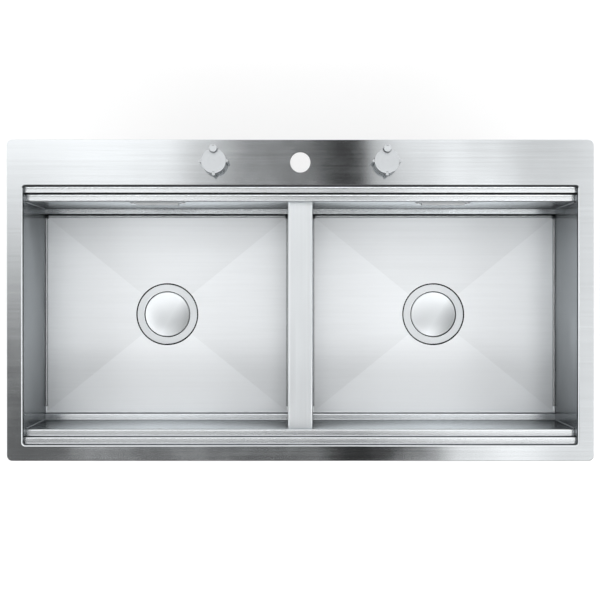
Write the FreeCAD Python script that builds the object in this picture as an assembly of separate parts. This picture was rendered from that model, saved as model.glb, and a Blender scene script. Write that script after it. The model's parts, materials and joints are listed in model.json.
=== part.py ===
"""Double-bowl kitchen sink with stepped ledges and two remote waste controls.

Millimetres. The origin is the centre of the rim's footprint on the worktop, +X is the user's right,
+Y runs to the back and +Z is up. Everything below the rim hangs in the worktop's cut-out.
"""

import FreeCAD, Part

import math
import os

Vector = FreeCAD.Vector

# Rim and deck
rim_length = 1016.0
rim_depth = 556.0
rim_height = 3.0
rim_corner_radius = 10.0
rim_edge_radius = 0.8
deck_sheet = 1.5
side_rim_width = 28.0
front_rim_width = 28.0
back_deck_width = 81.0
opening_corner_radius = 4.0
collar_depth = 8.0
tap_hole_radius = 17.5
tap_hole_from_back = 39.7

# Bent walls of the bowls
wall_sheet = 1.5
bend_radius = 3.0
crease_radius = 1.8
step_width = 12.5
upper_ledge_drop = 16.0
lower_ledge_drop = 32.0
bowl_depth = 254.0
low_ledge_height = 10.0
low_ledge_width = 12.5
corner_weld_radius = 2.0

# Divider between the bowls
divider_width = 44.0
divider_drop = 52.0

# Creased bowl floors
floor_flange_height = 5.0
floor_fall = 6.0
floor_fillet_radius = 3.0
recess_radius = 58.5
recess_drop = 9.0
recess_corner_radius = 2.0

# Rim gasket
gasket_width = 12.0
gasket_clearance = 0.3

# Waste body, held in the floor's hole by a lock nut
flange_radius = 56.5
flange_thickness = 2.0
flange_edge_radius = 0.8
cup_radius = 43.0
cup_wall = 1.5
cup_depth = 39.5
cup_base = 3.0
cup_clearance = 0.5
flange_seal_thickness = 1.5
flange_seal_inset = 1.0
back_washer_thickness = 3.0
back_washer_width = 11.0
lock_nut_height = 10.0
lock_nut_width = 13.0
lock_nut_notch_width = 8.0
lock_nut_notch_depth = 4.0
lock_nut_notch_count = 8

# Outlet neck with an inch and a half thread, and the guide that it holds
outlet_radius = 20.5
outlet_thread_radius = 23.9
neck_length = 18.0
guide_drop = 6.0
guide_height = 3.0
guide_hub_radius = 7.0
guide_spoke_width = 4.0
guide_spoke_count = 4

# Strainer basket with its cap and plug seal
basket_rim_radius = 41.8
basket_top_radius = 40.3
basket_base_radius = 35.0
basket_sheet = 1.0
basket_rim_drop = 4.5
basket_base_gap = 3.0
basket_post_radius = 6.0
basket_post_drop = 9.5
plug_radius = 19.5
plug_height = 5.0
slot_width = 3.0
slot_count = 16
slot_margin = 6.0
base_slot_inner_radius = 29.0
base_slot_outer_radius = 33.0
plug_seal_radius = 28.0
seat_clearance = 0.3
cap_radius = 41.5
cap_drop = 1.0
cap_dome = 3.5
cap_thickness = 2.0
cap_edge_radius = 0.6

# Outlet housing screwed on the neck
housing_radius = 30.0
housing_collar_height = 15.0
housing_height = 33.0
housing_outlet_length = 22.0
neck_clearance = 0.1
hose_spigot_radius = 8.0
hose_bore_radius = 6.5
spigot_reach = 52.0
spigot_shoulder_radius = 11.0
spigot_shoulder_height = 2.0
spigot_drop = 8.0
spindle_boss_radius = 7.0
spindle_boss_reach = 36.0

# Lifting lever inside the housing
lever_swing_degrees = 40.0
lever_offset = 12.0
lever_drop = 13.0
lever_spindle_radius = 3.0
running_clearance = 0.05
lift_arm_hub_radius = 5.5
lift_arm_width = 6.0
lift_arm_half_thickness = 1.5
lift_arm_tip_radius = 3.0
lift_pin_radius = 3.0
lift_pin_foot_radius = 4.0
lift_pin_foot_height = 2.0
lift_pin_socket_depth = 18.0
lift_pin_socket_clearance = 0.3
cable_arm_length = 24.0
cable_arm_gap = 2.0
cable_arm_thickness = 4.0
cable_arm_hub_radius = 6.0
cable_arm_eye_radius = 4.0
cable_eye_bore_radius = 1.6
spindle_overhang = 1.0

# Cable glands and the bracket that holds one beside the housing
gland_radius = 4.0
gland_nut_radius = 6.5
gland_nut_height = 3.5
gland_bore_radius = 1.5
gland_length = 22.0
gland_inner_reach = 6.0
hexagon_sides = 6
bracket_distance = 46.0
bracket_thickness = 3.0
bracket_half_width = 9.0
bracket_height = 18.0
bracket_web_thickness = 4.0
bracket_web_distance = 26.0
bracket_web_height = 12.0

# Overflow in the back wall of each bowl
overflow_drop = 51.0
overflow_slot_length = 76.0
overflow_slot_height = 12.0
overflow_cover_length = 97.0
overflow_cover_height = 25.0
overflow_cover_sheet = 1.0
overflow_hood_length = 75.0
overflow_hood_height = 21.0
overflow_hood_depth = 5.0
overflow_hood_edge_radius = 0.8
overflow_inlet_margin = 4.0
overflow_corner_radius = 11.0
overflow_screw_half_pitch = 43.0
overflow_screw_radius = 2.0
overflow_screw_length = 16.0
overflow_head_radius = 3.8
overflow_head_height = 1.6
overflow_head_edge_radius = 0.9
overflow_gasket_thickness = 2.0
overflow_box_depth = 22.0
overflow_box_wall = 2.0
overflow_box_below = 21.0
overflow_box_above = 15.0
overflow_post_radius = 5.0
overflow_spigot_length = 20.0

# Rotary controls on the back deck
control_spacing = 296.0
control_from_back = 40.5
control_hole_radius = 14.0
knob_radius = 21.25
knob_height = 44.0
knob_gap = 0.5
knob_edge_radius = 0.8
knob_cavity_radius = 16.0
knob_cavity_height = 16.0
index_slot_length = 3.6
index_slot_width = 1.2
index_slot_depth = 0.5
index_slot_from_edge = 2.2
rib_radius = 2.6
rib_from_axis = 22.3
peg_radius = 6.5
peg_from_axis = 20.6
peg_rise = 16.0
peg_edge_radius = 0.6
base_ring_height = 3.0
base_ring_edge_radius = 0.5
groove_height = 1.2
groove_depth = 0.6
groove_rise = 5.0
bush_radius = 13.5
bush_above_deck = 14.0
bush_below_deck = 17.5
spindle_radius = 4.0
spindle_in_knob = 33.0
control_washer_radius = 19.0
control_washer_thickness = 2.0
control_nut_radius = 20.0
control_nut_height = 6.0
drum_housing_radius = 21.0
drum_housing_height = 18.0
drum_housing_wall = 2.0
drum_height = 10.0
drum_flange_height = 1.5
drum_flange_width = 2.5
drum_gap = 1.0
cover_thickness = 3.0
cover_spigot_height = 1.7
cover_clearance = 0.1
control_turn_degrees = 90.0

# Clamps that pull the rim down on the worktop
clamp_bracket_sheet = 1.5
clamp_bracket_length = 24.0
clamp_bracket_height = 23.0
clamp_bracket_clearance = 0.2
clamp_tab_reach = 8.0
clamp_screw_radius = 2.5
clamp_screw_length = 42.0
clamp_screw_above_tab = 6.0
clamp_head_radius = 4.5
clamp_head_height = 3.5
clamp_hook_length = 34.0
clamp_hook_width = 8.6
clamp_hook_thickness = 3.0
clamp_hook_rise = 5.0
clamp_hook_clearance = 0.3
front_clamp_shares = (-0.75, 0.0, 0.75)
back_clamp_shares = (-0.83, -0.14, 0.14, 0.83)
side_clamp_shares = (-0.47, 0.47)

# Sound-deadening pads
pad_thickness = 3.0
floor_pad_margin = 30.0
floor_pad_hole_radius = 75.0
wall_pad_length = 300.0
back_pad_top_drop = 123.0
wall_pad_height = 110.0
end_pad_length = 240.0

# Every cut runs this far past the faces that it opens
overrun = 1.0

# Edges this close to a level, a line or a radius count as being on it
tolerance = 0.001

# Levels and places that follow from the sizes above
deck_top = rim_height
deck_underside = deck_top - deck_sheet
opening_right = rim_length / 2 - side_rim_width
opening_left = -opening_right
opening_back = rim_depth / 2 - back_deck_width
opening_front = front_rim_width - rim_depth / 2
collar_bottom = deck_top - collar_depth
upper_ledge = deck_top - upper_ledge_drop
lower_ledge = deck_top - lower_ledge_drop
floor_edge = deck_top - bowl_depth
low_ledge = floor_edge + low_ledge_height
floor_flange_top = floor_edge + floor_flange_height
wall_back = opening_back - 2 * step_width
wall_front = opening_front + 2 * step_width
floor_back = wall_back - low_ledge_width
floor_front = wall_front + low_ledge_width
divider_half = divider_width / 2
divider_top = deck_top - divider_drop
floor_underside = floor_edge - wall_sheet
drain_x = (opening_right + divider_half) / 2
drain_y = (floor_back + floor_front) / 2

recess_bottom = floor_edge - recess_drop
flange_top = recess_bottom + flange_seal_thickness + flange_thickness
cup_outer_radius = cup_radius + cup_wall
floor_hole_radius = cup_outer_radius + cup_clearance
cup_bottom = flange_top - cup_depth
cup_underside = cup_bottom - cup_base
neck_end = cup_underside - neck_length
housing_bottom = neck_end - housing_height

lever_y = drain_y + lever_offset
lever_z = neck_end - lever_drop
lever_start = math.radians(-lever_swing_degrees / 2)
lift_arm_length = lever_offset / math.cos(lever_start)
lift_travel = 2 * lift_arm_length * math.sin(-lever_start)
lift_tip_z = lever_z + lift_arm_length * math.sin(lever_start)
pin_foot_z = lift_tip_z + lift_arm_tip_radius + seat_clearance
basket_base = cup_bottom + basket_base_gap
pin_socket_top = basket_base - plug_height + lift_pin_socket_depth
cable_stroke = 2 * cable_arm_length * math.sin(-lever_start)
drum_radius = cable_stroke / math.radians(control_turn_degrees)
cable_arm_x = spindle_boss_reach + cable_arm_gap
cable_eye_rise = cable_arm_length * math.cos(lever_start)

control_x = control_spacing / 2
control_y = rim_depth / 2 - control_from_back
tap_hole_y = rim_depth / 2 - tap_hole_from_back
bush_bottom = deck_top - bush_below_deck
knob_bottom = deck_top + base_ring_height + knob_gap
knob_top = deck_top + knob_height
drum_top = bush_bottom - drum_housing_wall - drum_gap
drum_bottom = drum_top - drum_height
drum_housing_bottom = bush_bottom - drum_housing_height
overflow_z = deck_top - overflow_drop

narrow_rim_width = min(side_rim_width, front_rim_width)
clamp_bracket_inset = narrow_rim_width - bend_radius - clamp_bracket_clearance - clamp_bracket_sheet
clamp_screw_y = -clamp_bracket_inset + clamp_tab_reach / 2
clamp_tab_top = deck_underside - clamp_bracket_height + clamp_bracket_sheet
clamp_head_top = clamp_tab_top + clamp_screw_above_tab - clamp_screw_length


def box(x_range, y_range, z_range):
    corner = Vector(x_range[0], y_range[0], z_range[0])
    return Part.makeBox(x_range[1] - x_range[0], y_range[1] - y_range[0], z_range[1] - z_range[0], corner)


def rod(radius, start, end):
    """A round bar from one point to another."""
    run = end - start
    return Part.makeCylinder(radius, run.Length, start, run)


def hole(radius, start, end):
    """The tool for a round hole, which runs past both ends."""
    direction = (end - start).normalize()
    return rod(radius, start - direction * overrun, end + direction * overrun)


def tube(outer_radius, inner_radius, start, end):
    return rod(outer_radius, start, end).cut(hole(inner_radius, start, end))


def hexagon(corner_radius, start, end):
    """A six-sided nut blank from one point to another, with a corner that points sideways."""
    run = end - start
    helper = Vector(0, 0, 1) if abs(run.z) < run.Length / 2 else Vector(1, 0, 0)
    across = run.cross(helper).normalize() * corner_radius
    turn_step = 360 / hexagon_sides
    corners = []
    for index in range(hexagon_sides + 1):
        turn = FreeCAD.Rotation(run, turn_step * index)
        corners.append(start + turn.multVec(across))
    return Part.Face(Part.makePolygon(corners)).extrude(run)


def edges_along(shape, direction):
    """The straight edges of a shape that run along a unit direction."""
    found = []
    for edge in shape.Edges:
        run = edge.Vertexes[-1].Point - edge.Vertexes[0].Point
        if run.Length > tolerance and run.cross(direction).Length < tolerance:
            found.append(edge)
    return found


def edges_at_level(shape, level, x_limit):
    """The edges that lie flat at one height, not further out in X than a limit."""
    found = []
    for edge in shape.Edges:
        bounds = edge.BoundBox
        flat = abs(bounds.ZMin - level) < tolerance and abs(bounds.ZMax - level) < tolerance
        inside = max(abs(bounds.XMin), abs(bounds.XMax)) < x_limit + tolerance
        if flat and inside:
            found.append(edge)
    return found


def is_circle(edge, radius):
    """Whether an edge is round and has a given radius."""
    curve = edge.Curve
    return curve.TypeId == "Part::GeomCircle" and abs(curve.Radius - radius) < tolerance


def rounded_slab(x_range, y_range, z_range, corner_radius, direction=Vector(0, 0, 1)):
    """A block whose edges along one direction are rounded."""
    slab = box(x_range, y_range, z_range)
    return slab.makeFillet(corner_radius, edges_along(slab, direction))


def revolved(outline, x, y):
    """A solid of revolution about an upright axis, from points of radius and height."""
    points = [Vector(x + radius, y, height) for radius, height in outline]
    points.append(points[0])
    return Part.Face(Part.makePolygon(points)).revolve(Vector(x, y, 0), Vector(0, 0, 1), 360)


def corner_arc(corner, back_along, on_along, radius):
    """The arc tangent to the two lines that leave a corner along two unit directions."""
    half_turn = (math.pi - back_along.getAngle(on_along)) / 2
    setback = radius * math.tan(half_turn)
    rise = radius / math.cos(half_turn) - radius
    first = corner + back_along * setback
    middle = corner + (back_along + on_along).normalize() * rise
    last = corner + on_along * setback
    return first, last, Part.Arc(first, middle, last).toShape()


def rounded_line(corners, radii):
    """The edges of a line through the corners, with an arc of its own radius at each turn."""
    edges = []
    start = corners[0]
    for before, corner, after, radius in zip(corners, corners[1:], corners[2:], radii):
        back_along = (before - corner).normalize()
        on_along = (after - corner).normalize()
        first, last, arc = corner_arc(corner, back_along, on_along, radius)
        edges.append(Part.LineSegment(start, first).toShape())
        edges.append(arc)
        start = last
    edges.append(Part.LineSegment(start, corners[-1]).toShape())
    return edges


def sheet_lines(corners, radii, thickness, normal):
    """The visible line of a bent sheet, the line of its hidden face and that line's two ends."""
    sides = []
    for before, after in zip(corners, corners[1:]):
        sides.append(normal.cross((after - before).normalize()))
    hidden = [corners[0] + sides[0] * thickness]
    hidden_radii = []
    for index, radius in enumerate(radii):
        first = sides[index]
        second = sides[index + 1]
        hidden.append(corners[index + 1] + (first + second) * (thickness / (1 + first.dot(second))))
        leaving = corners[index + 2] - corners[index + 1]
        bends_back = leaving.dot(first) > 0
        hidden_radii.append(radius - thickness if bends_back else radius + thickness)
    hidden.append(corners[-1] + sides[-1] * thickness)
    return rounded_line(corners, radii), rounded_line(hidden, hidden_radii), hidden[0], hidden[-1]


def folded_sheet(corners, radii, thickness, normal, run):
    """A bent sheet: its cross-section drawn through the corners and drawn out along a run."""
    visible, hidden, hidden_start, hidden_end = sheet_lines(corners, radii, thickness, normal)
    edges = visible + [Part.LineSegment(corners[-1], hidden_end).toShape()]
    edges += hidden[::-1] + [Part.LineSegment(hidden_start, corners[0]).toShape()]
    return Part.Face(Part.Wire(edges)).extrude(run)


def fillet_strip(corner, wall_direction, floor_direction, radius, run):
    """The concave fillet in a corner, as a strip sunk to half the sheet's thickness."""
    first, last, arc = corner_arc(corner, wall_direction, floor_direction, radius)
    sink = wall_direction * (wall_sheet / 2)
    points = [last, last - sink, corner - sink, corner, first]
    edges = [Part.LineSegment(a, b).toShape() for a, b in zip(points, points[1:])]
    return Part.Face(Part.Wire(edges + [arc])).extrude(run)


def corner_strip(corner, first_direction, second_direction, radius, height):
    """The concave weld in an upright corner between two walls."""
    first, last, arc = corner_arc(corner, first_direction, second_direction, radius)
    edges = [Part.LineSegment(last, corner).toShape(), Part.LineSegment(corner, first).toShape(), arc]
    return Part.Face(Part.Wire(edges)).extrude(Vector(0, 0, height))


def deck_plate():
    """The pressed top plate: a folded lip outside and a collar bent down round the opening."""
    half_length = rim_length / 2
    half_depth = rim_depth / 2
    plate = rounded_slab(
        (-half_length, half_length), (-half_depth, half_depth), (0, deck_top), rim_corner_radius
    )
    plate = plate.makeFillet(rim_edge_radius, edges_at_level(plate, deck_top, half_length))
    inner_length = half_length - deck_sheet
    inner_depth = half_depth - deck_sheet
    hollow = rounded_slab(
        (-inner_length, inner_length),
        (-inner_depth, inner_depth),
        (-overrun, deck_underside),
        rim_corner_radius - deck_sheet,
    )
    plate = plate.cut(hollow)
    collar = rounded_slab(
        (opening_left - deck_sheet, opening_right + deck_sheet),
        (opening_front - deck_sheet, opening_back + deck_sheet),
        (collar_bottom, deck_top),
        opening_corner_radius + deck_sheet,
    )
    opening = rounded_slab(
        (opening_left, opening_right),
        (opening_front, opening_back),
        (collar_bottom - overrun, deck_top + overrun),
        opening_corner_radius,
    )
    plate = plate.fuse(collar).cut(opening).removeSplitter()
    plate = plate.makeFillet(bend_radius, edges_at_level(plate, deck_top, opening_right))
    inner_bend = edges_at_level(plate, deck_underside, opening_right + deck_sheet)
    plate = plate.makeFillet(bend_radius - deck_sheet, inner_bend)
    bores = [(0, tap_hole_y, tap_hole_radius)]
    bores += [(side * control_x, control_y, control_hole_radius) for side in (-1, 1)]
    for x, y, radius in bores:
        plate = plate.cut(hole(radius, Vector(x, y, deck_underside), Vector(x, y, deck_top)))
    return plate


def rim_gasket():
    """The foam strip between the deck and the worktop, just inside the folded lip."""
    inset = deck_sheet + gasket_clearance
    outer_length = rim_length / 2 - inset
    outer_depth = rim_depth / 2 - inset
    corner = rim_corner_radius - inset
    ring = rounded_slab(
        (-outer_length, outer_length), (-outer_depth, outer_depth), (0, deck_underside), corner
    )
    inner_length = outer_length - gasket_width
    inner_depth = outer_depth - gasket_width
    return ring.cut(box((-inner_length, inner_length), (-inner_depth, inner_depth), (-overrun, rim_height)))


def stepped_corners(opening_y, inward, x):
    """The visible corners of a stepped wall, from the collar down to the floor's flange."""
    wall_y = opening_y + inward * 2 * step_width
    outline = [
        (opening_y, collar_bottom),
        (opening_y, upper_ledge),
        (opening_y + inward * step_width, upper_ledge),
        (opening_y + inward * step_width, lower_ledge),
        (wall_y, lower_ledge),
        (wall_y, low_ledge),
        (wall_y + inward * low_ledge_width, low_ledge),
        (wall_y + inward * low_ledge_width, floor_flange_top),
    ]
    return [Vector(x, y, z) for y, z in outline]


stepped_radii = (crease_radius, bend_radius) * 3


def stepped_wall(opening_y, inward):
    corners = stepped_corners(opening_y, inward, opening_left)
    length = Vector(opening_right - opening_left, 0, 0)
    return folded_sheet(corners, stepped_radii, wall_sheet, Vector(-inward, 0, 0), length)


def front_stepped_wall():
    return stepped_wall(opening_front, 1)


def back_stepped_wall():
    """The back wall, with an overflow slot and two screw holes behind each bowl."""
    wall = stepped_wall(opening_back, -1)
    for side in (-1, 1):
        wall = wall.cut(overflow_slot(side, wall_back, wall_back + wall_sheet))
    return wall


def end_wall(side, front_wall, back_wall):
    """The flat wall that closes the steps at one end, with welds in its long corners."""
    x = side * opening_right
    back = sheet_lines(stepped_corners(opening_back, -1, x), stepped_radii, wall_sheet, Vector(1, 0, 0))
    front = sheet_lines(stepped_corners(opening_front, 1, x), stepped_radii, wall_sheet, Vector(-1, 0, 0))
    edges = back[1] + [Part.LineSegment(back[3], front[3]).toShape()]
    edges += front[1][::-1] + [Part.LineSegment(front[2], back[2]).toShape()]
    wall = Part.Face(Part.Wire(edges)).extrude(Vector(side * wall_sheet, 0, 0))
    height = lower_ledge - bend_radius - low_ledge
    for y, along in ((wall_back, -1), (wall_front, 1)):
        corner = Vector(x, y, low_ledge)
        weld = corner_strip(corner, Vector(-side, 0, 0), Vector(0, along, 0), corner_weld_radius, height)
        wall = wall.fuse(weld)
    return wall.cut(front_wall).cut(back_wall).removeSplitter()


def divider(front_wall, back_wall):
    """The inverted channel between the bowls, notched over the low ledges and welded at its ends."""
    corners = [
        Vector(-divider_half, wall_front, floor_flange_top),
        Vector(-divider_half, wall_front, divider_top),
        Vector(divider_half, wall_front, divider_top),
        Vector(divider_half, wall_front, floor_flange_top),
    ]
    run = Vector(0, wall_back - wall_front, 0)
    channel = folded_sheet(corners, (bend_radius, bend_radius), wall_sheet, Vector(0, 1, 0), run)
    height = divider_top - bend_radius - low_ledge
    for side in (-1, 1):
        for y, along in ((wall_back, -1), (wall_front, 1)):
            corner = Vector(side * divider_half, y, low_ledge)
            weld = corner_strip(corner, Vector(side, 0, 0), Vector(0, along, 0), corner_weld_radius, height)
            channel = channel.fuse(weld)
    notch_z = (floor_flange_top - overrun, low_ledge)
    notch_x = (-divider_half - overrun, divider_half + overrun)
    channel = channel.cut(box(notch_x, (floor_back, wall_back + overrun), notch_z))
    channel = channel.cut(box(notch_x, (wall_front - overrun, floor_front), notch_z))
    return channel.cut(front_wall).cut(back_wall).removeSplitter()


def creased_slab(x_range, y_range, lift, thickness):
    """A slab that falls from the floor's edge to the drain in four faces, from lift down by a thickness."""
    outline = ((0, 0), (1, 0), (1, 1), (0, 1))
    centre = Vector(sum(x_range) / 2, sum(y_range) / 2, floor_edge - floor_fall + lift)
    edge = [Vector(x_range[i], y_range[j], floor_edge + lift) for i, j in outline]
    down = Vector(0, 0, -thickness)
    faces = []
    for a, b in zip(edge, edge[1:] + edge[:1]):
        faces.append(Part.Face(Part.makePolygon([a, b, centre, a])))
        faces.append(Part.Face(Part.makePolygon([a + down, centre + down, b + down, a + down])))
        faces.append(Part.Face(Part.makePolygon([a, a + down, b + down, b, a])))
    solid = Part.makeSolid(Part.makeShell(faces))
    if solid.Volume < 0:
        solid.reverse()
    return solid


def bowl_ranges(side):
    """The floor's visible extent in X and Y."""
    near = side * divider_half
    far = side * opening_right
    return (min(near, far), max(near, far)), (floor_front, floor_back)


def bowl_floor(side):
    """A creased floor with its flange, its fillets, the drain's recess and the hole for the waste."""
    x_range, y_range = bowl_ranges(side)
    x = side * drain_x
    floor = creased_slab(x_range, y_range, 0, wall_sheet)
    outer_x = (x_range[0] - wall_sheet, x_range[1] + wall_sheet)
    outer_y = (y_range[0] - wall_sheet, y_range[1] + wall_sheet)
    flange = box(outer_x, outer_y, (floor_underside, floor_flange_top))
    flange = flange.cut(box(x_range, y_range, (floor_underside - overrun, floor_flange_top + overrun)))
    floor = floor.fuse(flange)
    x_slope = floor_fall / ((x_range[1] - x_range[0]) / 2)
    y_slope = floor_fall / ((y_range[1] - y_range[0]) / 2)
    up = Vector(0, 0, 1)
    along_x = Vector(x_range[1] - x_range[0], 0, 0)
    along_y = Vector(0, y_range[1] - y_range[0], 0)
    strips = []
    for edge_x, inward in ((x_range[0], 1), (x_range[1], -1)):
        fall = Vector(inward, 0, -x_slope).normalize()
        corner = Vector(edge_x, y_range[0], floor_edge)
        strips.append(fillet_strip(corner, up, fall, floor_fillet_radius, along_y))
    for edge_y, inward in ((y_range[0], 1), (y_range[1], -1)):
        fall = Vector(0, inward, -y_slope).normalize()
        corner = Vector(x_range[0], edge_y, floor_edge)
        strips.append(fillet_strip(corner, up, fall, floor_fillet_radius, along_x))
    floor = floor.fuse(strips)
    recess_outer = recess_radius + wall_sheet
    recess_underside = recess_bottom - wall_sheet
    pan = revolved(
        [
            (floor_hole_radius, recess_bottom),
            (recess_radius, recess_bottom),
            (recess_radius, floor_edge),
            (recess_outer, floor_edge),
            (recess_outer, recess_underside),
            (floor_hole_radius, recess_underside),
        ],
        x,
        drain_y,
    )
    pan = pan.cut(creased_slab(x_range, y_range, floor_fall + overrun, floor_fall + overrun))
    centre_low = Vector(x, drain_y, floor_edge - floor_fall - wall_sheet)
    centre_high = Vector(x, drain_y, floor_edge)
    floor = floor.cut(hole(recess_radius, centre_low, centre_high)).fuse(pan).removeSplitter()
    bottom_edges = edges_at_level(floor, recess_bottom, rim_length)
    bottom_ring = [edge for edge in bottom_edges if is_circle(edge, recess_radius)]
    return floor.makeFillet(recess_corner_radius, bottom_ring)


def waste_body(x):
    """The drain's flange, its cup and the threaded neck, with the lift pin's guide across the neck."""
    body = revolved(
        [
            (cup_radius, flange_top),
            (flange_radius, flange_top),
            (flange_radius, flange_top - flange_thickness),
            (cup_outer_radius, flange_top - flange_thickness),
            (cup_outer_radius, cup_underside),
            (outlet_thread_radius, cup_underside),
            (outlet_thread_radius, neck_end),
            (outlet_radius, neck_end),
            (outlet_radius, cup_bottom),
            (cup_radius, cup_bottom),
        ],
        x,
        drain_y,
    )
    body = body.makeFillet(flange_edge_radius, edges_at_level(body, flange_top, rim_length))
    guide_top = cup_bottom - guide_drop
    guide_bottom = guide_top - guide_height
    low = Vector(x, drain_y, guide_bottom)
    high = Vector(x, drain_y, guide_top)
    guide = rod(guide_hub_radius, low, high)
    spoke_x = (x - outlet_thread_radius, x + outlet_thread_radius)
    spoke_y = (drain_y - guide_spoke_width / 2, drain_y + guide_spoke_width / 2)
    for index in range(guide_spoke_count // 2):
        spoke = box(spoke_x, spoke_y, (guide_bottom, guide_top))
        spoke.rotate(Vector(x, drain_y, 0), Vector(0, 0, 1), 360 / guide_spoke_count * index)
        guide = guide.fuse(spoke)
    body = body.fuse(guide.common(rod(outlet_thread_radius, low, high)))
    return body.cut(hole(lift_pin_radius + running_clearance, low, high)).removeSplitter()


def flange_seal(x):
    low = Vector(x, drain_y, recess_bottom)
    high = Vector(x, drain_y, recess_bottom + flange_seal_thickness)
    return tube(flange_radius - flange_seal_inset, floor_hole_radius, low, high)


def back_washer(x):
    high = Vector(x, drain_y, recess_bottom - wall_sheet)
    low = high - Vector(0, 0, back_washer_thickness)
    return tube(floor_hole_radius + back_washer_width, floor_hole_radius, low, high)


def lock_nut(x):
    """The notched ring that pulls the waste body down on the floor."""
    high = Vector(x, drain_y, recess_bottom - wall_sheet - back_washer_thickness)
    low = high - Vector(0, 0, lock_nut_height)
    outer_radius = cup_outer_radius + lock_nut_width
    nut = tube(outer_radius, cup_outer_radius, low, high)
    for index in range(lock_nut_notch_count):
        notch = box(
            (x + outer_radius - lock_nut_notch_depth, x + outer_radius + overrun),
            (drain_y - lock_nut_notch_width / 2, drain_y + lock_nut_notch_width / 2),
            (low.z - overrun, high.z + overrun),
        )
        notch.rotate(low, Vector(0, 0, 1), 360 / lock_nut_notch_count * index)
        nut = nut.cut(notch)
    return nut


def strainer_basket(x):
    """The slotted basket with its centre post and the plug under its base."""
    rim_top = flange_top - basket_rim_drop
    post_top = flange_top - basket_post_drop
    plug_bottom = basket_base - plug_height
    basket = revolved(
        [
            (basket_rim_radius, rim_top),
            (basket_rim_radius, rim_top - basket_sheet),
            (basket_top_radius, rim_top - basket_sheet),
            (basket_base_radius, basket_base),
            (plug_radius, basket_base),
            (plug_radius, plug_bottom),
            (0, plug_bottom),
            (0, post_top),
            (basket_post_radius, post_top),
            (basket_post_radius, basket_base + basket_sheet),
            (basket_base_radius - basket_sheet, basket_base + basket_sheet),
            (basket_top_radius - basket_sheet, rim_top),
        ],
        x,
        drain_y,
    )
    half_slot = slot_width / 2
    wall_slot = box(
        (x + basket_base_radius - slot_margin, x + basket_rim_radius + overrun),
        (drain_y - half_slot, drain_y + half_slot),
        (basket_base + slot_margin, rim_top - slot_margin),
    )
    base_slot = box(
        (x + base_slot_inner_radius, x + base_slot_outer_radius),
        (drain_y - half_slot, drain_y + half_slot),
        (basket_base - overrun, basket_base + basket_sheet + overrun),
    )
    slots = []
    for index in range(slot_count):
        for tool in (wall_slot, base_slot):
            slot = tool.copy()
            slot.rotate(Vector(x, drain_y, 0), Vector(0, 0, 1), 360 / slot_count * index)
            slots.append(slot)
    socket_low = Vector(x, drain_y, plug_bottom - overrun)
    socket_high = Vector(x, drain_y, pin_socket_top)
    socket = rod(lift_pin_radius + lift_pin_socket_clearance, socket_low, socket_high)
    return basket.cut(slots).cut(socket)


def plug_seal(x):
    """The rubber ring round the plug, which rests on the cup's base."""
    low = Vector(x, drain_y, cup_bottom + seat_clearance)
    return tube(plug_seal_radius, plug_radius, low, Vector(x, drain_y, basket_base))


def drain_cap(x):
    """The domed cover over the basket, on a boss that meets the basket's post."""
    edge_z = flange_top - cap_drop
    underside = edge_z - cap_thickness
    dome_radius = (cap_radius ** 2 + cap_dome ** 2) / (2 * cap_dome)
    dome = Part.makeSphere(dome_radius, Vector(x, drain_y, edge_z + cap_dome - dome_radius))
    crown = Vector(x, drain_y, edge_z + cap_dome + overrun)
    cap = rod(cap_radius, Vector(x, drain_y, underside), crown).common(dome)
    cap = cap.makeFillet(cap_edge_radius, edges_at_level(cap, edge_z, rim_length))
    post_top = Vector(x, drain_y, flange_top - basket_post_drop)
    boss = rod(basket_post_radius, post_top, Vector(x, drain_y, underside))
    return cap.fuse(boss)


def lift_pin(x):
    """The pin that carries the basket, guided in the neck and pushed up by the lift arm."""
    foot = Vector(x, drain_y, pin_foot_z)
    shoulder = foot + Vector(0, 0, lift_pin_foot_height)
    pin = rod(lift_pin_radius, shoulder, Vector(x, drain_y, pin_socket_top - seat_clearance))
    return pin.fuse(rod(lift_pin_foot_radius, foot, shoulder))


def lever_spindle(x):
    reach = cable_arm_x + cable_arm_thickness + spindle_overhang
    start = Vector(x - lift_arm_width / 2 - spindle_overhang, lever_y, lever_z)
    return rod(lever_spindle_radius, start, Vector(x + reach, lever_y, lever_z))


def lever_arm(x_range, direction, length, hub_radius, tip_radius, half_thickness):
    """A flat arm across the spindle: a hub, a bar and a round tip, along a direction in the YZ plane."""
    axis = Vector(x_range[0], lever_y, lever_z)
    width = Vector(x_range[1] - x_range[0], 0, 0)
    tip = axis + direction * length
    across = direction.cross(Vector(1, 0, 0)) * half_thickness
    corners = [axis + across, tip + across, tip - across, axis - across, axis + across]
    bar = Part.Face(Part.makePolygon(corners)).extrude(width)
    arm = rod(hub_radius, axis, axis + width).fuse([bar, rod(tip_radius, tip, tip + width)])
    return arm.cut(hole(lever_spindle_radius, axis, axis + width)).removeSplitter(), tip


def lift_arm(x):
    """The inner arm, whose tip lies under the lift pin."""
    half_width = lift_arm_width / 2
    direction = Vector(0, -math.cos(lever_start), math.sin(lever_start))
    sizes = (lift_arm_length, lift_arm_hub_radius, lift_arm_tip_radius, lift_arm_half_thickness)
    return lever_arm((x - half_width, x + half_width), direction, *sizes)[0]


def cable_arm(x):
    """The outer arm, which the cable pulls towards the back."""
    x_range = (x + cable_arm_x, x + cable_arm_x + cable_arm_thickness)
    direction = Vector(0, math.sin(lever_start), math.cos(lever_start))
    sizes = (cable_arm_length, cable_arm_hub_radius, cable_arm_eye_radius, cable_arm_eye_radius)
    arm, eye = lever_arm(x_range, direction, *sizes)
    return arm.cut(hole(cable_eye_bore_radius, eye, eye + Vector(cable_arm_thickness, 0, 0)))


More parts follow.
